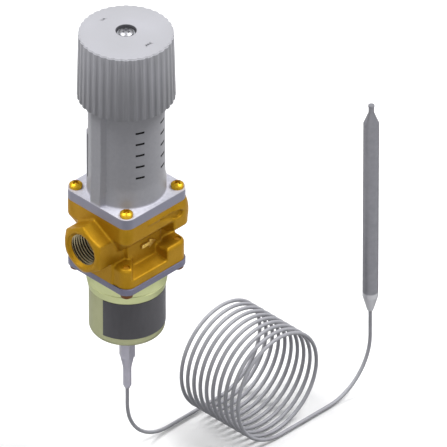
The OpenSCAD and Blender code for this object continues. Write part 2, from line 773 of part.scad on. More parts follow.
module bellows_housing() color(zinc_green) on_axis() rotate_extrude() difference() {
    cup_section(can_r, can_base_z, ring_step_z, can_edge_r);
    cup_section(can_r - can_wall, can_base_z + can_floor_t, ring_step_z + cut,
                can_edge_r - can_wall);
    translate([0, can_base_z - cut]) square([gas_bore_r, can_floor_t + 2 * cut]);
}

// Folded wall of the bellows, closed by a flat head, open to the gas bore at its foot
fold_h = (bellows_head_z - bellows_head_t - bellows_foot_z) / (2 * bellows_folds);
function fold_wall(out) = [for (i = [0:2 * bellows_folds])
    [bellows_r - (i % 2 == 0 ? bellows_fold_d : 0) - (out ? 0 : bellows_wall),
     bellows_foot_z + i * fold_h]];

module bellows() color(brass) on_axis() rotate_extrude() polygon(concat(
    fold_wall(true),
    [[bellows_r - bellows_fold_d, bellows_head_z], [0, bellows_head_z],
     [0, bellows_head_z - bellows_head_t]],
    [for (i = [2 * bellows_folds:-1:0]) fold_wall(false)[i]]));

module label_band() color(dark_grey) on_axis()
    translate([0, 0, cover_z - band_drop - band_h]) rotate(band_from)
        rotate_extrude(angle = band_sweep) translate([can_r, 0]) square([band_t, band_h]);

module gland_nut() color(steel) on_axis() difference() {
    union() {
        translate([0, 0, gland_foot_z])
            cylinder(d = gland_af / cos(30), h = gland_l, $fn = 6);
        translate([0, 0, ferrule_top_z])
            cylinder(r1 = ferrule_d / 2, r2 = gland_af / 2, h = gland_cone_l);
    }
    bar(gas_bore_r, ferrule_top_z - cut, can_base_z + cut);
}

// Capillary with its ferrule, coil and bulb
module capillary_ferrule() color(steel) on_axis() difference() {
    rotate_extrude() polygon([
        [0, ferrule_foot_z], [tube_hole_r + 0.4, ferrule_foot_z],
        [ferrule_d / 2, ferrule_foot_z + ferrule_taper_l], [ferrule_d / 2, ferrule_top_z],
        [0, ferrule_top_z]]);
    bar(tube_hole_r, ferrule_foot_z - cut, tube_start_z);
    bar(gas_bore_r, tube_start_z - cut, ferrule_top_z + cut);
}

bend_steps = 8;
function coil_point(turn) = [
    coil_x + coil_r * sin(360 * turn), -coil_pitch * turn, coil_z - coil_r * cos(360 * turn)];
tube_route = concat(
    [[0, 0, tube_start_z]],
    [for (i = [0:bend_steps]) let (a = 90 * i / bend_steps)
        [coil_r * (1 - cos(a)), 0, coil_z - coil_r * sin(a)]],
    [for (i = [0:coil_turns * rings_per_turn]) coil_point(i / rings_per_turn)],
    [for (i = [0:bend_steps]) let (a = 90 * i / bend_steps)
        [bulb_x - coil_r * (1 - sin(a)), bulb_y, coil_z - coil_r * cos(a)]],
    [[bulb_x, bulb_y, bulb_tip_z + tube_in]]);

module capillary_tube() color(steel) on_axis() swept_tube(tube_route, tube_d / 2, ring_sides);

module sensor_bulb() color(knob_grey) on_axis() translate([bulb_x, bulb_y, bulb_tip_z]) {
    cone_top = bulb_foot_l + bulb_l + bulb_shoulder_l;
    difference() {
        rotate_extrude() polygon([
            [0, 0], [bulb_tip_r, 0], [bulb_d / 2, bulb_foot_l], [bulb_d / 2, bulb_foot_l + bulb_l],
            [bulb_neck_r, cone_top], [bulb_neck_r, cone_top + bulb_neck_l * 0.7],
            [bulb_neck_r + 0.2, cone_top + bulb_neck_l * 0.8],
            [bulb_neck_r + 0.2, cone_top + bulb_neck_l], [0, cone_top + bulb_neck_l]]);
        bar(tube_hole_r, -cut, tube_in);
    }
}

hand_knob();
knob_screw();
knob_washer();
setting_spindle();
thread_bush();
upper_spring_seat();
thrust_washer();
setting_spring();
lower_spring_seat();
spring_housing();
housing_screws();
upper_diaphragm();
diaphragm_nut();
valve_spindle();
valve_cone();
cone_seal();
seal_nut();
seat_ring();
valve_body();
lower_diaphragm();
lower_cover();
guide_bush();
cover_screws();
push_pin();
crimp_ring();
bellows_housing();
bellows();
label_band();
gland_nut();
capillary_ferrule();
capillary_tube();
sensor_bulb();
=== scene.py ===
"""Dresses the thermostatic water valve: forged brass body with threaded ports, fluted hand knob,
lacquered spring housing with its setting scale, passivated bellows housing and the coiled
capillary tube with its sensor bulb. Everything is in metres, in the frame of the CAD model."""

import math

import bpy
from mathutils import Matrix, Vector


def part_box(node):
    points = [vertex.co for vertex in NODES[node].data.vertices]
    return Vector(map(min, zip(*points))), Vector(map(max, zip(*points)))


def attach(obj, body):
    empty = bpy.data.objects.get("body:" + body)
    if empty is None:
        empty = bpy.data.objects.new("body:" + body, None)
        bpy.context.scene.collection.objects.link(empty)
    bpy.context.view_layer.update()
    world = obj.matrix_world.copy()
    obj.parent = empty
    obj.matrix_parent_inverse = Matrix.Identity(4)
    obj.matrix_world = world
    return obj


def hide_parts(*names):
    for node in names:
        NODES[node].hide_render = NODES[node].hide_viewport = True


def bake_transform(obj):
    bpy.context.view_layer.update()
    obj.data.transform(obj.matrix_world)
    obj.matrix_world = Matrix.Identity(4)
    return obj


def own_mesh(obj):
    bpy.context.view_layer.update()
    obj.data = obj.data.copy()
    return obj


MM = 0.001
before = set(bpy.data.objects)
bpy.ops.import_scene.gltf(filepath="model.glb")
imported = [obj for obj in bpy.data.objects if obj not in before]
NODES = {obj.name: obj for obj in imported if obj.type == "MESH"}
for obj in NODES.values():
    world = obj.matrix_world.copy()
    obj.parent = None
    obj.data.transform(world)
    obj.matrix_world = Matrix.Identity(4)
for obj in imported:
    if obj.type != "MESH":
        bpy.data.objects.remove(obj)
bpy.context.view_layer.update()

# Places that the pieces share, read from the frame
HOUSING_LOW, HOUSING_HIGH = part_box("spring_housing")
BODY_LOW, BODY_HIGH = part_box("valve_body")
BULB_LOW, BULB_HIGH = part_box("sensor_bulb")
KNOB_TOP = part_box("hand_knob")[1].z
TUBE_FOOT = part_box("capillary_tube")[0].z
FERRULE_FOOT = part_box("capillary_ferrule")[0].z
AXIS = Vector(((HOUSING_LOW.x + HOUSING_HIGH.x) / 2, 0, 0))

# Heights that shapes and finishes share
FLANGE_TOP = 26.0 * MM
BOSS_TOP = -9.0 * MM
KNOB_CROWN = 1.8 * MM
KNOB_RIM = KNOB_TOP - KNOB_CROWN

# How close two points count as one
SAME_PLACE = 0.01 * MM
CAD_WELD = 0.001 * MM
NEW_WELD = 0.002 * MM
BEND_WELD = 0.02 * MM

# How finely round shapes and broken edges are divided
ROUND_SIDES = 96
EDGE_SEGMENTS = 2


# Selecting, adding and shaping

def leave_edit():
    bpy.ops.object.mode_set(mode="OBJECT")


def deselect():
    if bpy.context.object and bpy.context.object.mode == "EDIT":
        leave_edit()
    bpy.ops.object.select_all(action="DESELECT")


def take(piece):
    """Makes one piece the selected and active one."""
    deselect()
    bpy.context.view_layer.objects.active = piece
    piece.select_set(True)


def edit_all(piece):
    """Opens a piece in edit mode with all of it selected."""
    take(piece)
    bpy.ops.object.mode_set(mode="EDIT")
    bpy.ops.mesh.select_all(action="SELECT")


def pick(piece, test, kind="FACE"):
    """Selects the faces or vertices that pass a test, and leaves edit mode open."""
    take(piece)
    bpy.ops.object.mode_set(mode="EDIT")
    bpy.ops.mesh.select_mode(type=kind)
    bpy.ops.mesh.select_all(action="DESELECT")
    leave_edit()
    rows = piece.data.polygons if kind == "FACE" else piece.data.vertices
    for row in rows:
        row.select = test(row)
    bpy.ops.object.mode_set(mode="EDIT")


def near(value, target):
    return abs(value - target) < SAME_PLACE


def shift(piece, test, x=0.0, y=0.0, z=0.0):
    """Moves the vertices that pass a test."""
    pick(piece, test, "VERT")
    bpy.ops.transform.translate(value=(x, y, z))
    leave_edit()


def just_added(name):
    piece = bpy.context.object
    piece.name = name
    piece.data.name = name
    return piece


def settle(piece):
    """Puts a piece's place, turn and scale into its mesh."""
    take(piece)
    bpy.ops.object.transform_apply(location=True, rotation=True, scale=True)
    return piece


def apply_turn(piece):
    """Puts a piece's turn and scale into its mesh, and leaves its origin where it is."""
    take(piece)
    bpy.ops.object.transform_apply(location=False, rotation=True, scale=True)
    return piece


def tidy_mesh(piece, gap=NEW_WELD):
    """Merges doubles and turns all faces outwards."""
    edit_all(piece)
    bpy.ops.mesh.remove_doubles(threshold=gap)
    bpy.ops.mesh.normals_make_consistent(inside=False)
    leave_edit()


def close_holes(piece):
    edit_all(piece)
    bpy.ops.mesh.fill_holes(sides=0)
    leave_edit()


def join(first, others):
    """Makes several pieces one, which keeps the first one's name."""
    take(first)
    for other in others:
        other.select_set(True)
    bpy.ops.object.join()


def apply_modifier(piece, kind, **settings):
    take(piece)
    modifier = piece.modifiers.new(kind.lower(), kind)
    for key, value in settings.items():
        setattr(modifier, key, value)
    bpy.ops.object.modifier_apply(modifier=modifier.name)


def smooth(piece, crease=35):
    """Shades a piece smoothly, apart from edges sharper than a crease in degrees."""
    take(piece)
    bpy.ops.object.shade_smooth_by_angle(angle=math.radians(crease))
    return piece


def cut_with(piece, cutter, operation):
    """Cuts a piece with a second one, which is then deleted."""
    apply_modifier(piece, "BOOLEAN", operation=operation, object=cutter, solver="MANIFOLD")
    take(cutter)
    bpy.ops.object.delete()


def cylinder(name, radius, depth, centre, along="Z", sides=ROUND_SIDES):
    turn = {"X": (0, math.pi / 2, 0), "Z": (0, 0, 0)}[along]
    deselect()
    bpy.ops.mesh.primitive_cylinder_add(
        vertices=sides, radius=radius, depth=depth, location=centre, rotation=turn)
    return settle(just_added(name))


def block(name, low, high):
    low, high = Vector(low), Vector(high)
    deselect()
    bpy.ops.mesh.primitive_cube_add(size=1, location=(low + high) / 2)
    piece = just_added(name)
    piece.scale = high - low
    return settle(piece)


def merged_copy(node, name):
    """A copy of a CAD node with its loose triangles merged, to be worked into a finer piece."""
    deselect()
    piece = bpy.data.objects.new(name, NODES[node].data.copy())
    bpy.context.scene.collection.objects.link(piece)
    piece.data.materials.clear()
    edit_all(piece)
    bpy.ops.mesh.customdata_custom_splitnormals_clear()
    bpy.ops.mesh.remove_doubles(threshold=CAD_WELD)
    leave_edit()
    return piece


def finish_piece(piece, material, body, slot, *nodes):
    """Gives a piece its material and its body, and hides the CAD nodes that it stands for."""
    piece.data.materials.clear()
    piece.data.materials.append(material)
    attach(piece, body)
    if nodes:
        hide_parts(*nodes)


# Finishes. Colours are written as 0 to 255 on a screen.

WHITE = (255, 255, 255)
BRASS_EDGE = (235, 210, 150)

# Heights from which and to which one finish gives way to the next
# A band under the knob's rim, up to the crown's foot, is painted near-white: a painted highlight
KNOB_RIM_PAINTED_HIGHLIGHT = (KNOB_RIM - 0.8 * MM, KNOB_RIM - 0.3 * MM)
KNOB_CROWN_FOOT = (KNOB_RIM + 0.05 * MM, KNOB_RIM + 0.25 * MM)
# Where the flange's darker sides give way to its near-white top: painted light and painted shade
FLANGE_TOP_PAINTED_LIGHT = (FLANGE_TOP - 0.6 * MM, FLANGE_TOP - 0.2 * MM)
SLEEVE_ROOT = (FLANGE_TOP + 0.3 * MM, FLANGE_TOP + 1.5 * MM)
SCREW_SHANK = (BOSS_TOP - 6 * MM, BOSS_TOP - 4 * MM)
# Below this height the bulb's downward-facing cone is painted lighter: painted light
BULB_CONE_PAINTED_LIGHT = (BULB_LOW.z + 13.5 * MM, BULB_LOW.z + 12.5 * MM)

# The same for radii round the spindle axis
# Inside this radius the knob's screw pocket is painted dark: painted shade
KNOB_POCKET_PAINTED_SHADE = (6.1 * MM, 5.85 * MM)


def linear(srgb):
    """A screen colour as Blender's linear colour, by the sRGB curve."""
    def one(value):
        share = value / 255
        return share / 12.92 if share <= 0.04045 else ((share + 0.055) / 1.055) ** 2.4
    return (*[one(v) for v in srgb], 1.0)


class Finish:
    """A procedural material: a principled surface and the nodes that vary it."""

    def __init__(self, name, srgb, metal, rough, specular=0.5, edge=WHITE):
        self.material = bpy.data.materials.new(name)
        self.material.use_nodes = True
        self.tree = self.material.node_tree
        self.surface = self.tree.nodes["Principled BSDF"]
        self.set("Base Color", linear(srgb))
        self.set("Metallic", metal)
        self.set("Roughness", rough)
        self.set("Specular IOR Level", specular)
        self.set("Specular Tint", linear(edge))
        self.place = self.tree.nodes.new("ShaderNodeTexCoord").outputs["Object"]

    def set(self, socket, value):
        self.surface.inputs[socket].default_value = value

    def node(self, kind, **settings):
        made = self.tree.nodes.new(kind)
        for key, value in settings.items():
            setattr(made, key, value)
        return made

    def link(self, source, target):
        self.tree.links.new(source, target)

    def noise(self, scale, detail=3.0, stretch=(1, 1, 1), rough=0.55):
        """Noise on the piece's own place, with lumps about 1/scale metres across."""
        mapping = self.node("ShaderNodeMapping")
        mapping.inputs["Scale"].default_value = stretch
        noise = self.node("ShaderNodeTexNoise")
        noise.inputs["Scale"].default_value = scale
        noise.inputs["Detail"].default_value = detail
        noise.inputs["Roughness"].default_value = rough
        self.link(self.place, mapping.inputs["Vector"])
        self.link(mapping.outputs["Vector"], noise.inputs["Vector"])
        return noise.outputs["Fac"]

    def spread(self, source, low, high, from_low=0.3, from_high=0.7):
        """Maps a value onto a range."""
        spread = self.node("ShaderNodeMapRange")
        for socket, value in zip(("From Min", "From Max", "To Min", "To Max"),
                                 (from_low, from_high, low, high)):
            spread.inputs[socket].default_value = value
        self.link(source, spread.inputs["Value"])
        return spread.outputs["Result"]

    def blend_colours(self, factor, first, second):
        """Colour between two, by a factor."""
        mix = self.node("ShaderNodeMix", data_type="RGBA")
        for socket, colour in ((6, first), (7, second)):
            if isinstance(colour, tuple):
                mix.inputs[socket].default_value = linear(colour)
            else:
                self.link(colour, mix.inputs[socket])
        self.link(factor, mix.inputs[0])
        return mix.outputs[2]

    def colour(self, source):
        self.link(source, self.surface.inputs["Base Color"])

    def roughness(self, source):
        self.link(source, self.surface.inputs["Roughness"])

    def bump(self, height, depth, strength):
        """Fine relief, with its full depth in metres."""
        bump = self.node("ShaderNodeBump")
        bump.inputs["Strength"].default_value = strength
        bump.inputs["Distance"].default_value = depth
        self.link(height, bump.inputs["Height"])
        self.link(bump.outputs["Normal"], self.surface.inputs["Normal"])

    def radius_share(self, outer, inner):
        """How far a point is from one radius round the spindle axis to another, from 0 to 1."""
        flat = self.node("ShaderNodeVectorMath", operation="MULTIPLY_ADD")
        flat.inputs[1].default_value = (1, 1, 0)
        flat.inputs[2].default_value = (-AXIS.x, 0, 0)
        length = self.node("ShaderNodeVectorMath", operation="LENGTH")
        self.link(self.place, flat.inputs[0])
        self.link(flat.outputs["Vector"], length.inputs[0])
        return self.spread(length.outputs["Value"], 0.0, 1.0, outer, inner)

    def height_share(self, low, high):
        """How far a point is between two heights, from 0 to 1."""
        parts = self.node("ShaderNodeSeparateXYZ")
        self.link(self.place, parts.inputs["Vector"])
        return self.spread(parts.outputs["Z"], 0.0, 1.0, low, high)


def knob_plastic():
    """Moulded grey plastic with a fine eroded grain, a painted highlight round the rim and
    painted shade in the screw pocket.
    """
    finish = Finish("moulded_grey_plastic", (165, 165, 170), metal=0.0, rough=0.42,
                    specular=0.14)
    clouds = finish.spread(finish.noise(28, detail=1), 0.0, 1.0)
    mottled = finish.spread(finish.noise(160, detail=4), 0.0, 0.5)
    skin = finish.blend_colours(clouds, (160, 160, 164), (172, 172, 178))
    skin = finish.blend_colours(mottled, skin, (165, 165, 170))
    # Painted highlight: a near-white band round the knob's top edge
    painted_highlight_rim = finish.blend_colours(finish.height_share(*KNOB_RIM_PAINTED_HIGHLIGHT), skin, (236, 236, 242))
    outside = finish.blend_colours(finish.height_share(*KNOB_CROWN_FOOT), painted_highlight_rim, skin)
    # Painted shade: the screw pocket, much darker than the skin
    pocket = finish.radius_share(*KNOB_POCKET_PAINTED_SHADE)
    finish.colour(finish.blend_colours(pocket, outside, (84, 84, 88)))
    finish.roughness(finish.spread(finish.noise(900), 0.36, 0.5))
    finish.bump(finish.noise(2600, detail=2), depth=0.03 * MM, strength=0.5)
    return finish.material


def housing_lacquer():
    """Grey lacquer on the sleeve that thins into bare bluish die-cast metal on the flange, whose
    top is painted much lighter than its sides: painted light on the top, painted shade on the
    sides.
    """
    finish = Finish("lacquered_die_casting", (160, 160, 165), metal=0.08, rough=0.4,
                    specular=0.18)
    # Painted light on the flange's top and painted shade on its sides
    flange = finish.blend_colours(finish.height_share(*FLANGE_TOP_PAINTED_LIGHT),
                                  (156, 156, 174), (212, 212, 223))
    base = finish.blend_colours(finish.height_share(*SLEEVE_ROOT), flange, (168, 168, 173))
    speckle = finish.spread(finish.noise(500, detail=4), 0.0, 0.3)
    finish.colour(finish.blend_colours(speckle, base, (148, 148, 155)))
    finish.roughness(finish.spread(finish.noise(1200), 0.36, 0.5))
    finish.bump(finish.noise(1500, detail=3), depth=0.04 * MM, strength=0.5)
    return finish.material


def forged_brass():
    """Hot-forged brass: a dull golden skin with darker patches and a sandy grain."""
    finish = Finish("hot_forged_brass", (172, 129, 28), metal=0.38, rough=0.34, specular=0.2,
                    edge=BRASS_EDGE)
    patches = finish.spread(finish.noise(90, detail=4), 0.0, 1.0)
    skin = finish.blend_colours(patches, (164, 122, 18), (182, 138, 34))
    grain = finish.spread(finish.noise(1400, detail=3), 0.0, 0.3)
    finish.colour(finish.blend_colours(grain, skin, (146, 106, 16)))
    finish.roughness(finish.spread(finish.noise(700), 0.34, 0.5))
    finish.bump(finish.noise(1300, detail=4), depth=0.05 * MM, strength=0.55)
    return finish.material


def arrow_brass_painted_light():
    """The face of the raised arrow, painted lighter than the forged brass: painted light against
    the shade under the brow.
    """
    finish = Finish("arrow_brass_painted_light", (214, 178, 84), metal=0.5, rough=0.3, specular=0.2,
                    edge=BRASS_EDGE)
    painted_light_speckle = finish.spread(finish.noise(900, detail=3), 0.0, 1.0)
    finish.colour(finish.blend_colours(painted_light_speckle, (190, 150, 58), (230, 200, 116)))
    finish.roughness(finish.spread(finish.noise(700), 0.26, 0.4))
    finish.bump(finish.noise(1300, detail=4), depth=0.03 * MM, strength=0.4)
    return finish.material


def thread_brass():
    """Cut thread, darker and greyer than the forged skin."""
    finish = Finish("cut_thread_brass", (142, 132, 106), metal=0.9, rough=0.22,
                    edge=(140, 130, 105))
    stain = finish.noise(400, detail=4)
    finish.colour(finish.blend_colours(stain, (116, 106, 82), (160, 150, 122)))
    finish.roughness(finish.spread(finish.noise(1500), 0.16, 0.28))
    finish.bump(finish.noise(3000), depth=0.01 * MM, strength=0.4)
    return finish.material


def yellow_zinc():
    """Yellow passivated screws."""
    finish = Finish("yellow_passivated_zinc", (206, 162, 34), metal=0.6, rough=0.26,
                    edge=(150, 110, 30))
    cloud = finish.noise(420, detail=3)
    finish.colour(finish.blend_colours(cloud, (186, 142, 22), (216, 176, 52)))
    finish.roughness(finish.spread(finish.noise(1600), 0.22, 0.38))
    finish.bump(finish.noise(2500), depth=0.01 * MM, strength=0.3)
    return finish.material


def green_zinc(name, dark, light):
    """Yellow-green passivated plate with a faint cloud."""
    finish = Finish(name, light, metal=0.4, rough=0.3, specular=0.25, edge=(96, 100, 72))
    cloud = finish.noise(120, detail=4)
    finish.colour(finish.blend_colours(cloud, dark, light))
    finish.roughness(finish.spread(finish.noise(900, stretch=(1, 1, 0.2)), 0.28, 0.42))
    finish.bump(finish.noise(1800), depth=0.01 * MM, strength=0.3)
    return finish.material


def plated_cover():
    """Bluish plate on the lower cover."""
    finish = Finish("plated_cover", (110, 110, 130), metal=0.4, rough=0.36, specular=0.3)
    cloud = finish.noise(220, detail=4)
    finish.colour(finish.blend_colours(cloud, (100, 98, 118), (122, 122, 142)))
    finish.roughness(finish.spread(finish.noise(1000), 0.34, 0.48))
    finish.bump(finish.noise(1600), depth=0.02 * MM, strength=0.4)
    return finish.material


def cover_screw_steel():
    """Dark heads below the cover, and bare brassy screw ends that show in the bosses."""
    finish = Finish("dark_plated_screws", (104, 54, 26), metal=0.5, rough=0.34, specular=0.3)
    heads = finish.blend_colours(finish.noise(500), (84, 50, 20), (112, 72, 32))
    end = finish.height_share(*SCREW_SHANK)
    finish.colour(finish.blend_colours(end, heads, (208, 158, 52)))
    finish.roughness(finish.spread(finish.noise(1400), 0.28, 0.42))
    finish.bump(finish.noise(1800), depth=0.01 * MM, strength=0.3)
    return finish.material


def dark_foil():
    """The bare foil band round the bellows housing."""
    finish = Finish("dark_foil_band", (91, 90, 94), metal=0.0, rough=0.46, specular=0.25)
    weave = finish.noise(300, detail=3, stretch=(1, 1, 0.3))
    finish.colour(finish.blend_colours(weave, (85, 84, 87), (97, 96, 101)))
    finish.roughness(finish.spread(finish.noise(1200), 0.42, 0.54))
    finish.bump(finish.noise(2400), depth=0.008 * MM, strength=0.3)
    return finish.material


def drawn_bulb():
    """The drawn bulb: dull on its long body, and painted lighter on its lower cone, which faces
    down: painted light.
    """
    finish = Finish("drawn_bulb", (134, 134, 140), metal=0.5, rough=0.34, specular=0.3,
                    edge=(60, 60, 64))
    body = finish.blend_colours(finish.noise(260, detail=3), (128, 128, 133), (148, 148, 154))
    # Painted light: the lower cone, lighter than the body above it
    cone = finish.height_share(*BULB_CONE_PAINTED_LIGHT)
    finish.colour(finish.blend_colours(cone, body, (196, 196, 200)))
    marks = finish.noise(900, detail=3, stretch=(1, 1, 0.05))
    finish.roughness(finish.spread(marks, 0.28, 0.42))
    finish.bump(marks, depth=0.01 * MM, strength=0.35)
    return finish.material


def plain_metal(name, dark, light, metal, rough=0.32, edge=WHITE):
    """Bright or dull metal with a slight cloud and fine tool marks."""
    finish = Finish(name, light, metal, rough, specular=0.3, edge=edge)
    finish.colour(finish.blend_colours(finish.noise(260, detail=3), dark, light))
    marks = finish.noise(900, detail=3)
    finish.roughness(finish.spread(marks, rough - 0.06, rough + 0.08))
    finish.bump(marks, depth=0.01 * MM, strength=0.35)
    return finish.material


def rubber():
    finish = Finish("moulded_rubber", (40, 40, 42), metal=0.0, rough=0.62)
    finish.colour(finish.blend_colours(finish.noise(200), (34, 34, 36), (48, 48, 50)))
    finish.bump(finish.noise(1800), depth=0.02 * MM, strength=0.5)
    return finish.material


def black_print():
    finish = Finish("black_print", (8, 8, 9), metal=0.0, rough=0.5, specular=0.1)
    finish.colour(finish.blend_colours(finish.noise(600), (5, 5, 6), (14, 14, 15)))
    return finish.material


# Camera, floor and light

# What the picture's width takes in at the valve, and half of the lens's angle in radians
IMAGE_WIDTH = 249.7 * MM
HALF_ANGLE = 0.0112
SENSOR = 36.0
NEAREST_SEEN = 1.0
FARTHEST_SEEN = 40.0
VIEW_RIGHT = Vector((1, -1, 0)).normalized()
VIEW_UP = Vector((1, 1, 2)).normalized()
VIEW_AHEAD = Vector((1, 1, -1)).normalized()
AIM_RIGHT = 54.0 * MM
AIM_UP = 0.67 * MM
AIM_AHEAD = 12 * MM

FLOOR_SIZE = 12
FLOOR_Z = TUBE_FOOT - 1 * MM
FLOOR_LIT = {"Color": (0.14, 0.14, 0.14, 1)}
FLOOR_SHOWN = {"Color": (0.98, 0.98, 0.98, 1)}
SKY_LIGHT = {"Color": (0.96, 0.97, 1.0, 1), "Strength": 0.3}
SKY_SHOWN = {"Color": (1, 1, 1, 1), "Strength": 1.0}

LAMP_SIZE = 1.2
LAMP_TARGET = AXIS + Vector((30 * MM, -10 * MM, 0))
LAMPS = (
    ("left_lamp", (-0.75, 0.8, 2.1), 40),
    ("right_lamp", (0.85, -0.8, 2.1), 44),
    ("front_fill", (-1.4, -1.4, 1.2), 6),
)


def add_camera():
    """A very long lens at the photograph's angle, which looks nearly parallel."""
    aim = AXIS + VIEW_RIGHT * AIM_RIGHT + VIEW_UP * AIM_UP + VIEW_AHEAD * AIM_AHEAD
    distance = IMAGE_WIDTH / 2 / HALF_ANGLE
    bpy.ops.object.camera_add(location=aim - VIEW_AHEAD * distance)
    camera = bpy.context.object
    camera.name = "studio_camera"
    camera.rotation_euler = VIEW_AHEAD.to_track_quat("-Z", "Y").to_euler()
    camera.data.sensor_width = SENSOR
    camera.data.lens = SENSOR / 2 / math.tan(HALF_ANGLE)
    camera.data.clip_start = NEAREST_SEEN
    camera.data.clip_end = FARTHEST_SEEN
    bpy.context.scene.camera = camera


def seen_factor(tree):
    """1 for rays that show the background: camera, glossy and transmission rays."""
    path = tree.nodes.new("ShaderNodeLightPath")
    seen = path.outputs["Is Camera Ray"]
    for ray in ("Is Glossy Ray", "Is Transmission Ray"):
        either = tree.nodes.new("ShaderNodeMath")
        either.operation = "MAXIMUM"
        tree.links.new(seen, either.inputs[0])
        tree.links.new(path.outputs[ray], either.inputs[1])
        seen = either.outputs[0]
    return seen


def show_and_light(tree, output, shader, lit, shown):
    """One shader for the light that a surface gives off, and another for how it is seen."""
    tree.nodes.clear()
    out = tree.nodes.new(output)
    mix = tree.nodes.new("ShaderNodeMixShader")
    tree.links.new(seen_factor(tree), mix.inputs[0])
    for socket, settings in ((1, lit), (2, shown)):
        made = tree.nodes.new(shader)
        for key, value in settings.items():
            made.inputs[key].default_value = value
        tree.links.new(made.outputs[0], mix.inputs[socket])
    tree.links.new(mix.outputs[0], out.inputs["Surface"])


def add_floor():
    bpy.ops.mesh.primitive_plane_add(size=FLOOR_SIZE, location=(AXIS.x, 0, FLOOR_Z))
    floor = just_added("studio_floor")
    material = bpy.data.materials.new("pale_floor")
    material.use_nodes = True
    show_and_light(material.node_tree, "ShaderNodeOutputMaterial", "ShaderNodeBsdfDiffuse",
                   FLOOR_LIT, FLOOR_SHOWN)
    floor.data.materials.append(material)


def add_world():
    """Even sky light, and a white background behind the object."""
    world = bpy.data.worlds.new("studio")
    bpy.context.scene.world = world
    world.use_nodes = True
    show_and_light(world.node_tree, "ShaderNodeOutputWorld", "ShaderNodeBackground",
                   SKY_LIGHT, SKY_SHOWN)


def add_lights():
    """Soft square lamps that look at the valve."""
    for name, place, power in LAMPS:
        bpy.ops.object.light_add(type="AREA", location=place)
        lamp = bpy.context.object
        lamp.name = name
        towards = LAMP_TARGET - Vector(place)
        lamp.rotation_euler = towards.to_track_quat("-Z", "Y").to_euler()
        lamp.data.size = LAMP_SIZE
        lamp.data.energy = power


# Forged body. Lengths along X and Y are from the spindle axis.

SCREW_INSET = 5 * MM
SCREW_HOLE_R = 2.05 * MM
HOLE_SIDES = 32
PLUG_WALL = 0.8 * MM
DRILL_TOP = -5.0 * MM
DRILL_PAST_FOOT = 2 * MM

# The recess on the front and on the back, between the flanges
PANEL_Y = 15.6 * MM
OPEN_Y = 26 * MM
BROW_FOOT = -0.2 * MM
BROW_TOP = 9.0 * MM
RECESS_LEFT = -26 * MM
RECESS_RIGHT = 12 * MM

# Its lower part, between the bosses
SHELF_TOP = -14.2 * MM
SHELF_EDGE_Y = 24.4 * MM
SHELF_EDGE_Z = -16.8 * MM
GAP_LEFT = -11.2 * MM
GAP_RIGHT = 7.32 * MM
GAP_RIGHT_DRAFT = 0.64 * MM
GAP_OVERLAP = 0.1 * MM

# The wall of the lower chamber behind it
LINER_X = 9.4 * MM
LINER_Y = 12.6 * MM
LINER_LOW = -16.5 * MM
LINER_HIGH = -4 * MM
LINER_SETBACK = 0.05 * MM

# How the forging is rounded: stretched past its machined ends, remeshed and cut back
STRETCH = 3 * MM
BODY_VOXEL = 0.55 * MM
ROUNDING_STRENGTH = 0.5
ROUNDING_PASSES = 7
KEEP_MARGIN = 5 * MM


def screw_places():
    """Centres of the four screws, at the height of the ports."""
    reach = (HOUSING_HIGH.y - HOUSING_LOW.y) / 2 - SCREW_INSET
    return [AXIS + Vector((x * reach, y * reach, 0)) for x in (-1, 1) for y in (-1, 1)]


def recess_cutters(side):
    """What is free between the two flanges: over the bosses, and down between them."""
    ends = sorted((side * PANEL_Y, side * OPEN_Y))
    depth = OPEN_Y - PANEL_Y
    over = block("over_bosses", (AXIS.x + RECESS_LEFT, ends[0], BOSS_TOP),
                 (AXIS.x + RECESS_RIGHT, ends[1], BROW_FOOT))
    slope = (BROW_TOP - BROW_FOOT) / (HOUSING_HIGH.y - PANEL_Y)
    shift(over, lambda v: near(v.co.y, side * OPEN_Y) and near(v.co.z, BROW_FOOT),
          z=slope * depth)
    down = block("between_bosses", (AXIS.x + GAP_LEFT, ends[0], SHELF_TOP),
                 (AXIS.x + GAP_RIGHT, ends[1], BOSS_TOP + GAP_OVERLAP))
    fall = (SHELF_TOP - SHELF_EDGE_Z) / (SHELF_EDGE_Y - PANEL_Y)
    shift(down, lambda v: near(v.co.y, side * OPEN_Y) and near(v.co.z, SHELF_TOP),
          z=-fall * depth)
    shift(down, lambda v: near(v.co.y, side * OPEN_Y) and near(v.co.x, AXIS.x + GAP_LEFT),
          x=-depth)
    shift(down, lambda v: near(v.co.y, side * OPEN_Y) and near(v.co.x, AXIS.x + GAP_RIGHT),
          x=GAP_RIGHT_DRAFT)
    return over, down


def chamber_liner(side):
    """The flat wall of the lower chamber behind a recess."""
    ends = sorted((side * LINER_Y, side * (PANEL_Y - LINER_SETBACK)))
    return block("liner", (AXIS.x - LINER_X, ends[0], LINER_LOW),
                 (AXIS.x + LINER_X, ends[1], LINER_HIGH))


def boss_plug(place):
    """Fills the old screw hole up to the top of its taller boss."""
    centre = place + Vector((0, 0, (BOSS_TOP + BODY_LOW.z) / 2))
    return cylinder("plug", SCREW_HOLE_R + PLUG_WALL, BOSS_TOP - BODY_LOW.z, centre,
                    sides=HOLE_SIDES)


def screw_drill(place):
    """Cuts the screw hole from below the foot."""
    centre = place + Vector((0, 0, (DRILL_TOP + BODY_LOW.z) / 2 - DRILL_PAST_FOOT / 2))
    return cylinder("drill", SCREW_HOLE_R, DRILL_TOP - BODY_LOW.z + DRILL_PAST_FOOT, centre,
                    sides=HOLE_SIDES)


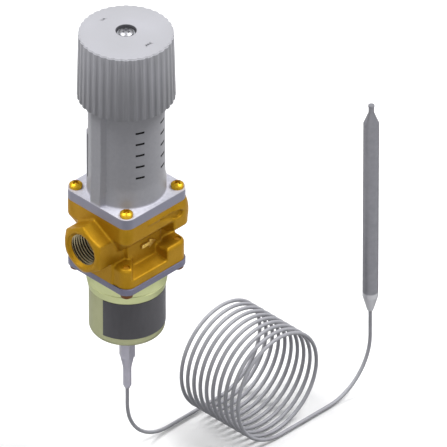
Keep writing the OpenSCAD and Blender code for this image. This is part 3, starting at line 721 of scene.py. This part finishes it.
def forged_body(material):
    """The body with rounded forging edges, between machined faces at its top and foot."""
    body = merged_copy("valve_body", "forged_body")
    for side in (-1, 1):
        for cutter in recess_cutters(side):
            cut_with(body, cutter, "DIFFERENCE")
    fillings = [boss_plug(place) for place in screw_places()]
    fillings += [chamber_liner(side) for side in (-1, 1)]
    join(body, fillings)
    for end, sign in ((BODY_HIGH.z, 1), (BODY_LOW.z, -1)):
        shift(body, lambda v: near(v.co.z, end), z=sign * STRETCH)
    apply_modifier(body, "REMESH", mode="VOXEL", voxel_size=BODY_VOXEL)
    apply_modifier(body, "SMOOTH", factor=ROUNDING_STRENGTH, iterations=ROUNDING_PASSES)
    keep = block("keep", (BODY_LOW.x - KEEP_MARGIN, BODY_LOW.y - KEEP_MARGIN, BODY_LOW.z),
                 (BODY_HIGH.x + KEEP_MARGIN, BODY_HIGH.y + KEEP_MARGIN, BODY_HIGH.z))
    cut_with(body, keep, "INTERSECT")
    for place in screw_places():
        cut_with(body, screw_drill(place), "DIFFERENCE")
    smooth(body, crease=40)
    finish_piece(body, material, "root", "body_brass", "valve_body")


# Arrow in the front recess

ARROW_TAIL = Vector((-4.2 * MM, -PANEL_Y, -5.2 * MM))
ARROW_LENGTH = 10.4 * MM
ARROW_HEAD = 4.6 * MM
ARROW_HEAD_W = 5.8 * MM
ARROW_SHAFT_W = 2.4 * MM
ARROW_SHOULDER = 0.02 * MM
ARROW_POINT_SHARE = 0.06
ARROW_T = 0.9 * MM
ARROW_ROOT = 0.4 * MM
ARROW_EDGE = 0.22 * MM
FACES_OUTLET = 0.9


def flow_arrow(material):
    """The raised arrow on the front panel, which points from the inlet to the outlet."""
    tail = AXIS + ARROW_TAIL
    shaft = ARROW_LENGTH - ARROW_HEAD
    arrow = block("flow_arrow", tail + Vector((0, -ARROW_T, -ARROW_SHAFT_W / 2)),
                  tail + Vector((shaft, ARROW_ROOT, ARROW_SHAFT_W / 2)))
    pick(arrow, lambda face: face.normal.x > FACES_OUTLET)
    for length, widen in ((ARROW_SHOULDER, ARROW_HEAD_W / ARROW_SHAFT_W),
                          (ARROW_HEAD, ARROW_POINT_SHARE)):
        bpy.ops.mesh.extrude_region_move(TRANSFORM_OT_translate={"value": (length, 0, 0)})
        bpy.ops.transform.resize(value=(1, 1, widen), center_override=tail)
    leave_edit()
    tidy_mesh(arrow)
    apply_modifier(arrow, "BEVEL", width=ARROW_EDGE, segments=EDGE_SEGMENTS,
                   limit_method="ANGLE")
    smooth(arrow, crease=40)
    finish_piece(arrow, material, "root", "body_brass")


# Pipe threads in the ports

THREAD_PITCH = 1.814 * MM
THREAD_MAJOR_R = 10.4775 * MM
THREAD_MINOR_R = 9.32 * MM
THREAD_ROOT = 0.25 * MM
THREAD_START = 1.3 * MM
THREAD_TURNS = 7
THREAD_STEPS = 40

# A triangle in a circle of radius 1, as the ridge's section starts
TRIANGLE_HEIGHT = 1.5
TRIANGLE_HALF_BASE = math.cos(math.radians(30))

LIP_START = 0.5 * MM
LIP_DEPTH = 1.3 * MM
LIP_IN_WALL = 0.3 * MM
LIP_MOUTH = 0.1 * MM
LIP_CUT_OVER = 0.02 * MM


def port_thread(name, mouth_x, inwards, material):
    """The helical ridge of a pipe thread, which stands in a port's bore."""
    depth = THREAD_MAJOR_R - THREAD_MINOR_R + THREAD_ROOT
    start = Vector((mouth_x + inwards * THREAD_START, 0, 0))
    deselect()
    bpy.ops.mesh.primitive_circle_add(vertices=3, radius=1, location=start,
                                      rotation=(math.pi / 2, 0, 0))
    ridge = apply_turn(just_added(name))
    pick(ridge, lambda vertex: True, "VERT")
    bpy.ops.transform.rotate(value=math.pi, orient_axis="Y", center_override=start)
    bpy.ops.transform.resize(
        value=(THREAD_PITCH / 2 / TRIANGLE_HALF_BASE, 1, depth / TRIANGLE_HEIGHT),
        center_override=start)
    # The crest points to the axis, two thirds of the section's height from its centre
    bpy.ops.transform.translate(value=(0, 0, THREAD_MINOR_R + depth * 2 / 3))
    leave_edit()
    apply_modifier(ridge, "SCREW", axis="X", angle=math.tau, iterations=THREAD_TURNS,
                   screw_offset=inwards * THREAD_PITCH, steps=THREAD_STEPS,
                   render_steps=THREAD_STEPS, use_merge_vertices=False)
    close_holes(ridge)
    settle(ridge)
    tidy_mesh(ridge)
    smooth(ridge, crease=25)
    finish_piece(ridge, material, "root", "body_brass")


def port_lip(name, mouth_x, inwards, material):
    """The countersink that leads from a port's face to the crest of its thread."""
    centre = (mouth_x + inwards * (LIP_START + LIP_DEPTH / 2), 0, 0)
    lip = cylinder(name, THREAD_MAJOR_R + LIP_IN_WALL, LIP_DEPTH, centre, along="X")
    deselect()
    bpy.ops.mesh.primitive_cone_add(
        vertices=ROUND_SIDES, radius1=THREAD_MAJOR_R + LIP_MOUTH, radius2=THREAD_MINOR_R,
        depth=LIP_DEPTH + LIP_CUT_OVER, location=centre,
        rotation=(0, inwards * math.pi / 2, 0))
    cut_with(lip, settle(just_added("countersink")), "DIFFERENCE")
    smooth(lip, crease=30)
    finish_piece(lip, material, "root", "body_brass")


# Capillary

TUBE_R = 1.1 * MM
TUBE_SIDES = 12
TUBE_DEPTH = 6 * MM
BEND_STEPS = 16
COIL_R = 32.5 * MM
COIL_PITCH = 5 * MM
COIL_TURNS = 10
COIL_STEPS = 64
COIL_CENTRE = Vector((107.6 * MM, 0, -123.0 * MM))


def tube_ring(name, centre):
    """A circle of tube wall whose tube runs along X."""
    deselect()
    bpy.ops.mesh.primitive_circle_add(vertices=TUBE_SIDES, radius=TUBE_R, location=centre,
                                      rotation=(0, math.pi / 2, 0))
    return apply_turn(just_added(name))


def lead(name, start, run, top):
    """A straight run along X, a quarter bend upwards and a straight rise."""
    piece = settle(tube_ring(name, start))
    pick(piece, lambda vertex: True, "VERT")
    bpy.ops.mesh.extrude_region_move(TRANSFORM_OT_translate={"value": (run, 0, 0)})
    centre = start + Vector((run, 0, COIL_R))
    turn = math.pi / 2 if run > 0 else -math.pi / 2
    bpy.ops.mesh.spin(steps=BEND_STEPS, angle=turn, center=centre, axis=(0, 1, 0))
    rise = top - COIL_CENTRE.z
    bpy.ops.mesh.extrude_region_move(TRANSFORM_OT_translate={"value": (0, 0, rise)})
    leave_edit()
    return piece


def capillary(material):
    """The tube from its ferrule through ten turns to the bulb."""
    coil = tube_ring("capillary", COIL_CENTRE)
    shift(coil, lambda vertex: True, z=-COIL_R)
    apply_modifier(coil, "SCREW", axis="Y", angle=-math.tau, iterations=COIL_TURNS,
                   screw_offset=-COIL_PITCH, steps=COIL_STEPS, render_steps=COIL_STEPS)
    settle(coil)
    foot = COIL_CENTRE + Vector((0, 0, -COIL_R))
    lead_in = COIL_CENTRE.x - AXIS.x - COIL_R
    first = lead("lead_in", foot, -lead_in, FERRULE_FOOT + TUBE_DEPTH)
    last_foot = foot + Vector((0, -COIL_PITCH * COIL_TURNS, 0))
    lead_out = (BULB_LOW.x + BULB_HIGH.x) / 2 - COIL_R - foot.x
    last = lead("lead_out", last_foot, lead_out, BULB_LOW.z + TUBE_DEPTH)
    join(coil, (first, last))
    tidy_mesh(coil, BEND_WELD)
    close_holes(coil)
    tidy_mesh(coil)
    smooth(coil, crease=50)
    finish_piece(coil, material, "root", "capillary", "capillary_tube")


# Spring housing

RIB_FOOT_TOP = 50 * MM
RIB_FOOT_IN = 1.15 * MM
RIB_FACE_T = 0.1 * MM
COLLAR_EDGE = 35.2 * MM
COLLAR_R = 22.3 * MM
COLLAR_DROP = 1.2 * MM


def die_cast_housing(material):
    """The housing with a rib whose foot leans in, and a collar with a longer cone."""
    housing = merged_copy("spring_housing", "die_cast_housing")
    rib_x = AXIS.x - HOUSING_HIGH.y
    shift(housing, lambda v: near(v.co.z, RIB_FOOT_TOP) and v.co.x < rib_x + RIB_FACE_T,
          x=RIB_FOOT_IN)
    shift(housing, lambda v: near(v.co.z, COLLAR_EDGE)
          and near(math.hypot(v.co.x - AXIS.x, v.co.y), COLLAR_R), z=-COLLAR_DROP)
    smooth(housing, crease=30)
    finish_piece(housing, material, "root", "sleeve", "spring_housing")


# Setting scale on the sleeve

MARK_HEIGHTS = [76.3 * MM, 68.8 * MM, 61.3 * MM, 53.7 * MM, 46.2 * MM]
MARK_T = 1.25 * MM
MARK_LIFT = 0.05 * MM
MARK_SWEEP = math.radians(14)
MARK_STARTS = [math.radians(239), math.radians(287)]
MARK_STEPS = 8
SLEEVE_FOOT = 35.8 * MM
SLEEVE_TOP = 91 * MM
SLEEVE_FOOT_R = 21.7 * MM
SLEEVE_TOP_R = 21.5 * MM


def sleeve_radius(height):
    share = (height - SLEEVE_FOOT) / (SLEEVE_TOP - SLEEVE_FOOT)
    return SLEEVE_FOOT_R + (SLEEVE_TOP_R - SLEEVE_FOOT_R) * share


def scale_mark(start, height):
    """A short line that runs round the sleeve from one direction."""
    outwards = Vector((math.cos(start), math.sin(start), 0))
    place = AXIS + outwards * sleeve_radius(height) + Vector((0, 0, height))
    deselect()
    bpy.ops.mesh.primitive_plane_add(size=1, location=place, rotation=(math.pi / 2, 0, start))
    mark = just_added("mark")
    mark.scale = (2 * MARK_LIFT, MARK_T, 1)
    settle(mark)
    pick(mark, lambda face: True)
    bpy.ops.mesh.spin(steps=MARK_STEPS, angle=-MARK_SWEEP, center=AXIS, axis=(0, 0, 1))
    leave_edit()
    return mark


def scale_marks(material):
    """Two rows of short printed lines."""
    marks = [scale_mark(start, height) for start in MARK_STARTS for height in MARK_HEIGHTS]
    join(marks[0], marks[1:])
    scale = just_added("scale_marks")
    tidy_mesh(scale)
    finish_piece(scale, material, "root", "sleeve")


# Inner pieces, copied from the CAD nodes and shaded smoothly

SPRING_FOOT = 12 * MM


def flexing_copy(node, name, material):
    piece = smooth(merged_copy(node, name))
    piece.data.materials.append(material)
    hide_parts(node)
    return piece


def flex_with_spindle(node, material):
    """A smooth copy of a CAD piece, with its place put into its mesh."""
    piece = flexing_copy(node, "flexing_" + node, material)
    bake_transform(piece)


def flexing_diaphragms(material):
    flex_with_spindle("upper_diaphragm", material)
    flex_with_spindle("lower_diaphragm", material)


def flexing_bellows(material):
    flex_with_spindle("bellows", material)


def cut_at(piece, height, keep_above):
    """Keeps what is above or below a height, and closes the cut."""
    pick(piece, lambda face: True)
    bpy.ops.mesh.bisect(plane_co=(0, 0, height), plane_no=(0, 0, 1), use_fill=True,
                        clear_inner=keep_above, clear_outer=not keep_above)
    leave_edit()
    tidy_mesh(piece)


def split_spring(material):
    """Cuts the spring at a height above its foot into two pieces: the foot and the rest of the
    coils.
    """
    low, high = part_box("setting_spring")
    split = low.z + SPRING_FOOT
    foot = flexing_copy("setting_spring", "setting_spring_foot", material)
    cut_at(foot, split, keep_above=False)
    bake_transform(foot)
    rest = flexing_copy("setting_spring", "setting_spring_coils", material)
    cut_at(rest, split, keep_above=True)
    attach(rest, "root")
    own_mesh(rest)


# Carried-over CAD pieces

BROKEN_EDGE = 0.3 * MM
BRASS_NODES = ("thread_bush", "thrust_washer", "valve_cone", "seal_nut", "guide_bush")
STEEL_NODES = ("knob_washer", "setting_spindle", "upper_spring_seat", "lower_spring_seat",
               "diaphragm_nut", "valve_spindle", "seat_ring", "push_pin")


def soften(node, sharper_than):
    """Breaks the edges of a CAD piece that shows, from an angle in degrees on."""
    piece = NODES[node]
    weld = piece.modifiers.new("weld", "WELD")
    weld.merge_threshold = CAD_WELD
    bevel = piece.modifiers.new("broken_edges", "BEVEL")
    bevel.limit_method = "ANGLE"
    bevel.angle_limit = math.radians(sharper_than)
    bevel.width = BROKEN_EDGE
    bevel.segments = EDGE_SEGMENTS
    bevel.use_clamp_overlap = True
    bevel.harden_normals = True


def dress_carried_over(steel, inner_brass, black_rubber):
    """Gives each CAD node that stays its finish."""
    gland_plate = plain_metal("nickel_plate", (188, 186, 199), (208, 206, 219), metal=0.25,
                              rough=0.36, edge=(110, 110, 118))
    finishes = {
        "hand_knob": knob_plastic(),
        "knob_screw": plain_metal("plated_screw", (122, 122, 126), (160, 160, 164), metal=0.85,
                                  rough=0.34, edge=(120, 120, 124)),
        "housing_screws": yellow_zinc(),
        "lower_cover": plated_cover(),
        "cover_screws": cover_screw_steel(),
        # The ring is painted lighter than the can: painted light on its downward-facing fillet
        "crimp_ring": green_zinc("passivated_ring", (202, 208, 150), (220, 226, 176)),
        "bellows_housing": green_zinc("passivated_can", (168, 170, 132), (184, 186, 150)),
        "label_band": dark_foil(),
        "gland_nut": gland_plate,
        "capillary_ferrule": gland_plate,
        "sensor_bulb": drawn_bulb(),
        "cone_seal": black_rubber,
        **dict.fromkeys(BRASS_NODES, inner_brass),
        **dict.fromkeys(STEEL_NODES, steel),
    }
    for node, material in finishes.items():
        NODES[node].data.materials.clear()
        NODES[node].data.materials.append(material)
    soften("hand_knob", sharper_than=50)
    soften("lower_cover", sharper_than=30)


def main():
    bpy.context.scene.view_settings.view_transform = "Standard"
    add_camera()
    add_floor()
    add_world()
    add_lights()

    steel = plain_metal("turned_steel", (168, 170, 176), (206, 208, 214), metal=0.8)
    inner_brass = plain_metal("turned_brass", (176, 140, 58), (206, 168, 80), metal=0.8)
    black_rubber = rubber()
    dress_carried_over(steel, inner_brass, black_rubber)

    brass = forged_brass()
    forged_body(brass)
    # The arrow's face is painted lighter than the body: painted light
    flow_arrow(arrow_brass_painted_light())
    thread = thread_brass()
    for name, mouth_x, inwards in (("inlet", 0.0, 1), ("outlet", BODY_HIGH.x, -1)):
        port_lip(name + "_port_lip", mouth_x, inwards, brass)
        port_thread(name + "_port_thread", mouth_x, inwards, thread)
    die_cast_housing(housing_lacquer())
    capillary(plain_metal("drawn_capillary", (162, 162, 168), (184, 184, 190), metal=0.1,
                          rough=0.36, edge=(10, 10, 12)))
    scale_marks(black_print())
    flexing_diaphragms(black_rubber)
    flexing_bellows(inner_brass)
    split_spring(steel)


main()
